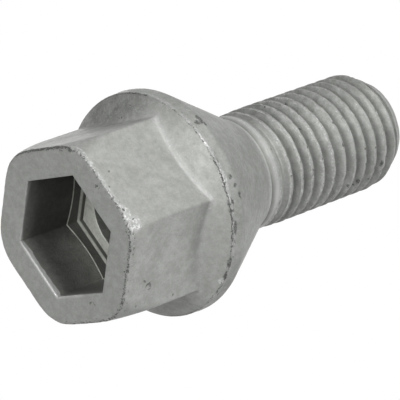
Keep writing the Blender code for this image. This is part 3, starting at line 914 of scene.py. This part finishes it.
class Graph:
    """Short names for the nodes that the coating is made of. Places are in millimetres."""

    def __init__(self, material):
        self.nodes = material.node_tree.nodes
        self.links = material.node_tree.links

    def connect(self, value, socket):
        if isinstance(value, bpy.types.NodeSocket):
            self.links.new(value, socket)
        else:
            socket.default_value = value

    def node(self, kind, output, inputs, **settings):
        """Output of a new node with these inputs and settings."""
        node = self.nodes.new("ShaderNode" + kind)
        for name, value in settings.items():
            setattr(node, name, value)
        for name, value in inputs.items():
            self.connect(value, node.inputs[name])
        return node.outputs[output]

    def attribute(self, name):
        return self.node("Attribute", "Fac", {}, attribute_name=name)

    def noise(self, place, scale, detail, roughness, output="Fac"):
        inputs = {"Vector": place, "Scale": scale, "Detail": detail, "Roughness": roughness}
        return self.node("TexNoise", output, inputs)

    def math(self, operation, first, second=0.0):
        return self.node("Math", 0, {0: first, 1: second}, operation=operation)

    def vector(self, operation, first, second):
        return self.node("VectorMath", 0, {0: first, 1: second}, operation=operation)

    def add(self, first, second):
        return self.math("ADD", first, second)

    def times(self, first, second):
        return self.math("MULTIPLY", first, second)

    def ramp(self, value, low, high, start=0.0, end=1.0):
        """Smooth step from start, where the value is low, to end, where it is high."""
        inputs = {"Value": value, "From Min": low, "From Max": high, "To Min": start, "To Max": end}
        return self.node("MapRange", "Result", inputs, interpolation_type="SMOOTHSTEP")

    def near(self, value, middle, reach):
        """1 where the value is the middle, falling to 0 at this reach from it."""
        away = self.math("ABSOLUTE", self.math("SUBTRACT", value, middle))
        return self.ramp(away, 0.0, reach, 1.0, 0.0)

    def band(self, value, start, end, fade):
        """1 from start to end, falling to 0 over this much on either side."""
        rise = self.ramp(value, start - fade, start)
        return self.times(rise, self.ramp(value, end, end + fade, 1.0, 0.0))

    def mix(self, share, first, second, kind="RGBA"):
        """Colour between two others, or another kind of value."""
        return self.node("Mix", "Result", {"Factor": share, "A": first, "B": second}, data_type=kind)

    def blend(self, share, first, second):
        """Number between two others."""
        return self.mix(share, first, second, "FLOAT")

    def shifted(self, place, shift, flatness=1.0):
        """The place moved. With flatness, what is laid out in it grows flatter along the bolt."""
        return self.node("Mapping", 0, {"Vector": place, "Location": shift, "Scale": (1.0, 1.0, flatness)})

    def spots(self, place, spots):
        """1 in small ellipsoids on the skin, 0 outside them."""
        nearest = 0.0
        for azimuth, height, radius, around, outward, up, turn in spots:
            inputs = {
                "Vector": place,
                "Location": place_on((azimuth, height, radius)),
                "Rotation": (0.0, math.radians(turn), math.radians(azimuth + 90)),
                "Scale": (around * SPOT_FADE, outward * SPOT_FADE, up * SPOT_FADE),
            }
            inside = self.node("Mapping", 0, inputs, vector_type="TEXTURE")
            ball = self.node("TexGradient", "Fac", {"Vector": inside}, gradient_type="SPHERICAL")
            nearest = self.math("MAXIMUM", ball, nearest)
        return self.ramp(nearest, 0.0, 0.5)


def grey(level, tint):
    """Grey that leans a little from violet to green, as the coating does."""
    return (level, level + tint, level - 1.4 * tint, 1.0)


def most(graph, values):
    """Largest of some numbers."""
    largest = values[0]
    for value in values[1:]:
        largest = graph.math("MAXIMUM", largest, value)
    return largest


def wear_distances(graph, wander):
    """Distances from the end face's edge, the collar's front edge and a crest's middle, a little uneven."""
    names = ("from_end_edge", "from_seam", "above_crest")
    return [graph.add(graph.attribute(name), wander) for name in names]


def worn_share(graph, place, wander):
    """How far the coating is worn along the edges and crests and in the patches, and where a highlight is
    painted on the fillet, the neck and the recess's lip.
    """
    edge, seam, crest = wear_distances(graph, wander)
    return most(graph, [
        graph.times(graph.band(edge, *END_EDGE_WEAR), graph.attribute("end_edge_shine")),
        graph.times(graph.band(seam, *SEAM_WEAR), graph.attribute("seam_shine")),
        graph.times(graph.band(crest, *CREST_WEAR_BAND), graph.attribute("crest_wear")),
        graph.attribute("painted_light"),
        graph.spots(place, BRIGHT_PATCHES),
    ])


def bright_flecks(graph, place, worn):
    """Where the wear reaches bright metal."""
    fleck = graph.noise(graph.shifted(place, FLECKS_SHIFT, FLECKS_FLATNESS), *FLECKS)
    return graph.ramp(graph.add(fleck, graph.times(worn, FLECKS_LIFT)), *FLECKS_RANGE)


def worn_dark(graph, place, wander, speckle):
    """Where wear, painted shade and darkening show dark: fine lines on the edges, chips beside them, and
    scattered flecks.
    """
    edge, seam, crest = wear_distances(graph, wander)
    end_edge_dark = graph.attribute("end_edge_dark")
    seam_dark = graph.attribute("seam_dark")
    lines = most(graph, [
        graph.times(graph.near(edge, *END_EDGE_LINE), end_edge_dark),
        graph.times(graph.near(seam, *SEAM_LINE), seam_dark),
    ])
    chips = most(graph, [
        graph.times(graph.band(edge, *END_EDGE_CHIPS), end_edge_dark),
        graph.times(graph.band(seam, *SEAM_CHIPS), seam_dark),
        graph.times(graph.band(crest, *CREST_CHIPS), CREST_CHIPS_LIFT),
        graph.times(graph.attribute("shade_and_darkening"), SHADE_AND_DARKENING_CHIPS_LIFT),
    ])
    chip = graph.noise(graph.shifted(place, CHIPS_SHIFT, CHIPS_FLATNESS), *CHIPS)
    scattered = graph.noise(graph.shifted(place, SCATTER_SHIFT), *SCATTER)
    return most(graph, [
        graph.ramp(graph.add(speckle, graph.times(lines, LINES_LIFT)), *LINES_RANGE),
        graph.ramp(graph.add(chip, graph.times(chips, CHIPS_LIFT)), *CHIPS_RANGE),
        graph.ramp(scattered, *SCATTER_RANGE, 0.0, SCATTER_STRENGTH),
    ])


def dark_spots(graph, place, speckle):
    """The small dark spots, with ragged outlines."""
    swirl = graph.vector("SUBTRACT", graph.noise(place, *SWIRL, "Color"), (0.5, 0.5, 0.5))
    ragged = graph.shifted(place, graph.vector("MULTIPLY", swirl, (SPOT_RAGGEDNESS * 4,) * 3))
    return graph.times(graph.spots(ragged, SPOTS), graph.ramp(speckle, *SPOT_GRAIN, SPOT_THINNEST, 1.0))


def coated_steel():
    """Matt zinc-grey coating on steel: mottled and speckled, chipped bright and dark along worn edges."""
    material = bpy.data.materials.new("coated_steel")
    material.use_nodes = True
    graph = Graph(material)
    shader = graph.nodes["Principled BSDF"]
    shader.inputs["Specular IOR Level"].default_value = COAT_SPECULAR
    in_metres = graph.node("TexCoord", "Object", {})
    place = graph.node("VectorMath", 0, {0: in_metres, "Scale": 1 / MM}, operation="SCALE")

    clouds = graph.noise(place, *CLOUDS)
    mottle = graph.noise(place, *MOTTLE)
    speckle = graph.noise(place, *SPECKLE)
    wander = graph.times(graph.math("SUBTRACT", mottle, 0.5), EDGE_WANDER)
    worn = worn_share(graph, place, wander)
    bright = bright_flecks(graph, place, worn)
    sunken = worn_dark(graph, place, wander, speckle)
    dark = graph.math("MAXIMUM", sunken, dark_spots(graph, place, speckle))

    tone = graph.add(graph.times(clouds, CLOUDS_SHARE), graph.times(mottle, MOTTLE_SHARE))
    tone = graph.add(tone, graph.times(speckle, SPECKLE_SHARE))
    colour = graph.mix(graph.ramp(tone, *TONE_RANGE), grey(*COAT_DARK), grey(*COAT_PALE))
    above_crest = graph.attribute("above_crest")
    root = graph.ramp(graph.math("ABSOLUTE", above_crest), *ROOT_BAND)
    root = graph.times(root, graph.ramp(above_crest, *NO_THREAD, ROOT_SHADE, 0.0))
    colour = graph.mix(root, colour, grey(*ROOT_GREY))
    # Painted shade in the corner under the collar, and darkening on the rim, the seat and the thread
    shade_and_darkening = graph.times(graph.attribute("shade_and_darkening"), graph.ramp(tone, *SHADE_AND_DARKENING_RANGE, THIN_SHADE_AND_DARKENING, 1.0))
    colour = graph.mix(shade_and_darkening, colour, grey(*SHADE_AND_DARKENING_GREY))
    # Painted shade in the neck's grooves
    colour = graph.mix(graph.attribute("groove"), colour, grey(*GROOVE_SHADE_GREY))
    # Worn coating, and painted highlights on the fillet, the neck and the recess's lip
    pale = graph.math("MAXIMUM", graph.times(worn, WORN_PALENESS), graph.attribute("painted_light"))
    colour = graph.mix(pale, colour, grey(*WORN_AND_HIGHLIGHT_GREY))
    colour = graph.mix(graph.times(bright, BRIGHT_SHARE), colour, grey(*BRIGHT_GREY))
    colour = graph.mix(graph.times(dark, DARK_SHARE), colour, grey(*DARK_GREY))

    coat_end = graph.add(graph.attribute("bareness"), graph.times(wander, COAT_END_WANDER))
    bare = graph.ramp(coat_end, -COAT_END_FADE, COAT_END_FADE)
    # The recess's bare steel, with painted light and shade on its walls
    bare_tone = graph.times(graph.attribute("recess_tone"), graph.ramp(tone, *TONE_RANGE, *BARE_TONES))
    colour = graph.mix(bare, colour, graph.mix(bare_tone, BLACK, BARE_TINT))
    graph.links.new(colour, shader.inputs["Base Color"])

    metallic = graph.blend(bright, COAT_METALLIC, BRIGHT_METALLIC)
    graph.links.new(graph.blend(dark, metallic, DARK_METALLIC), shader.inputs["Metallic"])
    roughness = graph.ramp(tone, *TONE_RANGE, *COAT_ROUGHNESS)
    roughness = graph.blend(bright, roughness, BRIGHT_ROUGHNESS)
    roughness = graph.blend(dark, roughness, DARK_ROUGHNESS)
    graph.links.new(graph.blend(bare, roughness, BARE_ROUGHNESS), shader.inputs["Roughness"])

    relief = graph.add(graph.times(speckle, SPECKLE_RELIEF), graph.times(mottle, MOTTLE_RELIEF))
    relief = graph.math("SUBTRACT", relief, graph.times(sunken, DARK_RELIEF))
    relief = graph.add(relief, graph.times(bright, BRIGHT_RELIEF))
    normal = graph.node("Bump", "Normal", {"Distance": MM, "Height": relief})
    graph.links.new(normal, shader.inputs["Normal"])
    return material


def build_bolt():
    """The bolt's skin with its wear and displacement, in the frame's place for it."""
    skin = Skin()
    mouth = add_recess(skin)
    ring = add_head(skin, mouth)
    add_thread(skin, ring)
    points = np.concatenate(skin.points)
    zones = np.concatenate(skin.zones)
    traits = along_edges(points, zones, np.concatenate(skin.measures), np.concatenate(skin.tones))
    mesh = bpy.data.meshes.new("bolt_body")
    mesh.from_pydata((points * MM).tolist(), [], skin.faces)
    normals = np.empty(len(points) * 3)
    mesh.vertices.foreach_get("normal", normals)
    moved = points + normals.reshape(-1, 3) * displacement(points, zones, traits)[:, None]
    wobble = CREST_WOBBLE * smooth_noise(points, CREST_WOBBLE_SIZE, 5)
    moved[:, 2] += np.where(traits["above_crest"] < FAR, wobble, 0.0)
    mesh.vertices.foreach_set("co", (moved * MM).ravel())
    for name, values in traits.items():
        mesh.attributes.new(name, "FLOAT", "POINT").data.foreach_set("value", values)
    mesh.update()
    mesh.shade_smooth()
    mesh.set_sharp_from_angle(angle=SHARP_ANGLE)
    mesh.materials.append(coated_steel())
    bolt = bpy.data.objects.new("bolt_body", mesh)
    bpy.context.scene.collection.objects.link(bolt)
    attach(bolt, "root")
    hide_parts("wheel_bolt")
    return bolt


def add_camera():
    """Camera at the photograph's place. Its own axes are the fit's with Y and Z turned round."""
    turn = Vector(CAMERA_TURN)
    to_picture = Matrix.Rotation(turn.length, 3, turn.normalized())
    flip = Matrix(((1, 0, 0), (0, -1, 0), (0, 0, -1)))
    place = (flip @ to_picture).transposed().to_4x4()
    place.translation = Vector(CAMERA_PLACE) * MM
    data = bpy.data.cameras.new("camera")
    data.lens = CAMERA_LENS
    data.sensor_width = CAMERA_SENSOR
    data.clip_start = 0.01
    camera = bpy.data.objects.new("camera", data)
    camera.matrix_world = place
    bpy.context.scene.collection.objects.link(camera)
    bpy.context.scene.camera = camera


def add_world():
    """White world that the camera and reflections see in full, and that lights the bolt only faintly."""
    world = bpy.data.worlds.new("studio")
    world.use_nodes = True
    nodes, links = world.node_tree.nodes, world.node_tree.links
    room = nodes["Background"]
    room.inputs["Color"].default_value = WHITE
    room.inputs["Strength"].default_value = ROOM_STRENGTH
    seen = nodes.new("ShaderNodeBackground")
    seen.inputs["Color"].default_value = WHITE
    seen.inputs["Strength"].default_value = 1.0
    path = nodes.new("ShaderNodeLightPath")
    sees = path.outputs["Is Camera Ray"]
    for ray in ("Is Glossy Ray", "Is Transmission Ray"):
        either = nodes.new("ShaderNodeMath")
        either.operation = "MAXIMUM"
        links.new(sees, either.inputs[0])
        links.new(path.outputs[ray], either.inputs[1])
        sees = either.outputs[0]
    mix = nodes.new("ShaderNodeMixShader")
    links.new(sees, mix.inputs[0])
    links.new(room.outputs[0], mix.inputs[1])
    links.new(seen.outputs[0], mix.inputs[2])
    links.new(mix.outputs[0], nodes["World Output"].inputs["Surface"])
    bpy.context.scene.world = world


def add_floor():
    """Pale floor under the bolt. It is clear from below, where the photograph's camera stands."""
    mesh = bpy.data.meshes.new("floor")
    half = FLOOR_SIZE / 2 * MM
    corners = [(-half, -half, 0), (half, -half, 0), (half, half, 0), (-half, half, 0)]
    mesh.from_pydata(corners, [], [(0, 1, 2, 3)])
    material = bpy.data.materials.new("pale_floor")
    material.use_nodes = True
    nodes, links = material.node_tree.nodes, material.node_tree.links
    nodes.remove(nodes["Principled BSDF"])
    paint = nodes.new("ShaderNodeBsdfDiffuse")
    paint.inputs["Color"].default_value = FLOOR_COLOUR
    glow = nodes.new("ShaderNodeEmission")
    glow.inputs["Strength"].default_value = FLOOR_GLOW
    lit = nodes.new("ShaderNodeAddShader")
    clear = nodes.new("ShaderNodeBsdfTransparent")
    side = nodes.new("ShaderNodeNewGeometry")
    mix = nodes.new("ShaderNodeMixShader")
    links.new(paint.outputs[0], lit.inputs[0])
    links.new(glow.outputs[0], lit.inputs[1])
    links.new(side.outputs["Backfacing"], mix.inputs[0])
    links.new(lit.outputs[0], mix.inputs[1])
    links.new(clear.outputs[0], mix.inputs[2])
    links.new(mix.outputs[0], nodes["Material Output"].inputs["Surface"])
    mesh.materials.append(material)
    floor = bpy.data.objects.new("floor", mesh)
    floor.visible_shadow = False
    floor.visible_diffuse = False
    floor.visible_glossy = False
    bpy.context.scene.collection.objects.link(floor)


def add_lamp(name, azimuth, elevation, strength):
    """A soft sun that shines from this direction, in degrees round the bolt and above its end face."""
    data = bpy.data.lights.new(name, "SUN")
    data.energy = strength
    data.angle = LAMP_SOFTNESS
    lamp = bpy.data.objects.new(name, data)
    around, up = math.radians(azimuth), math.radians(elevation)
    back = Vector((math.cos(around) * math.cos(up), math.sin(around) * math.cos(up), math.sin(up)))
    lamp.rotation_mode = "QUATERNION"
    lamp.rotation_quaternion = back.to_track_quat("Z", "Y")
    bpy.context.scene.collection.objects.link(lamp)


def main():
    add_camera()
    add_world()
    add_floor()
    for lamp in LAMPS:
        add_lamp(*lamp)
    build_bolt()
    bpy.context.scene.view_settings.view_transform = "Standard"


main()
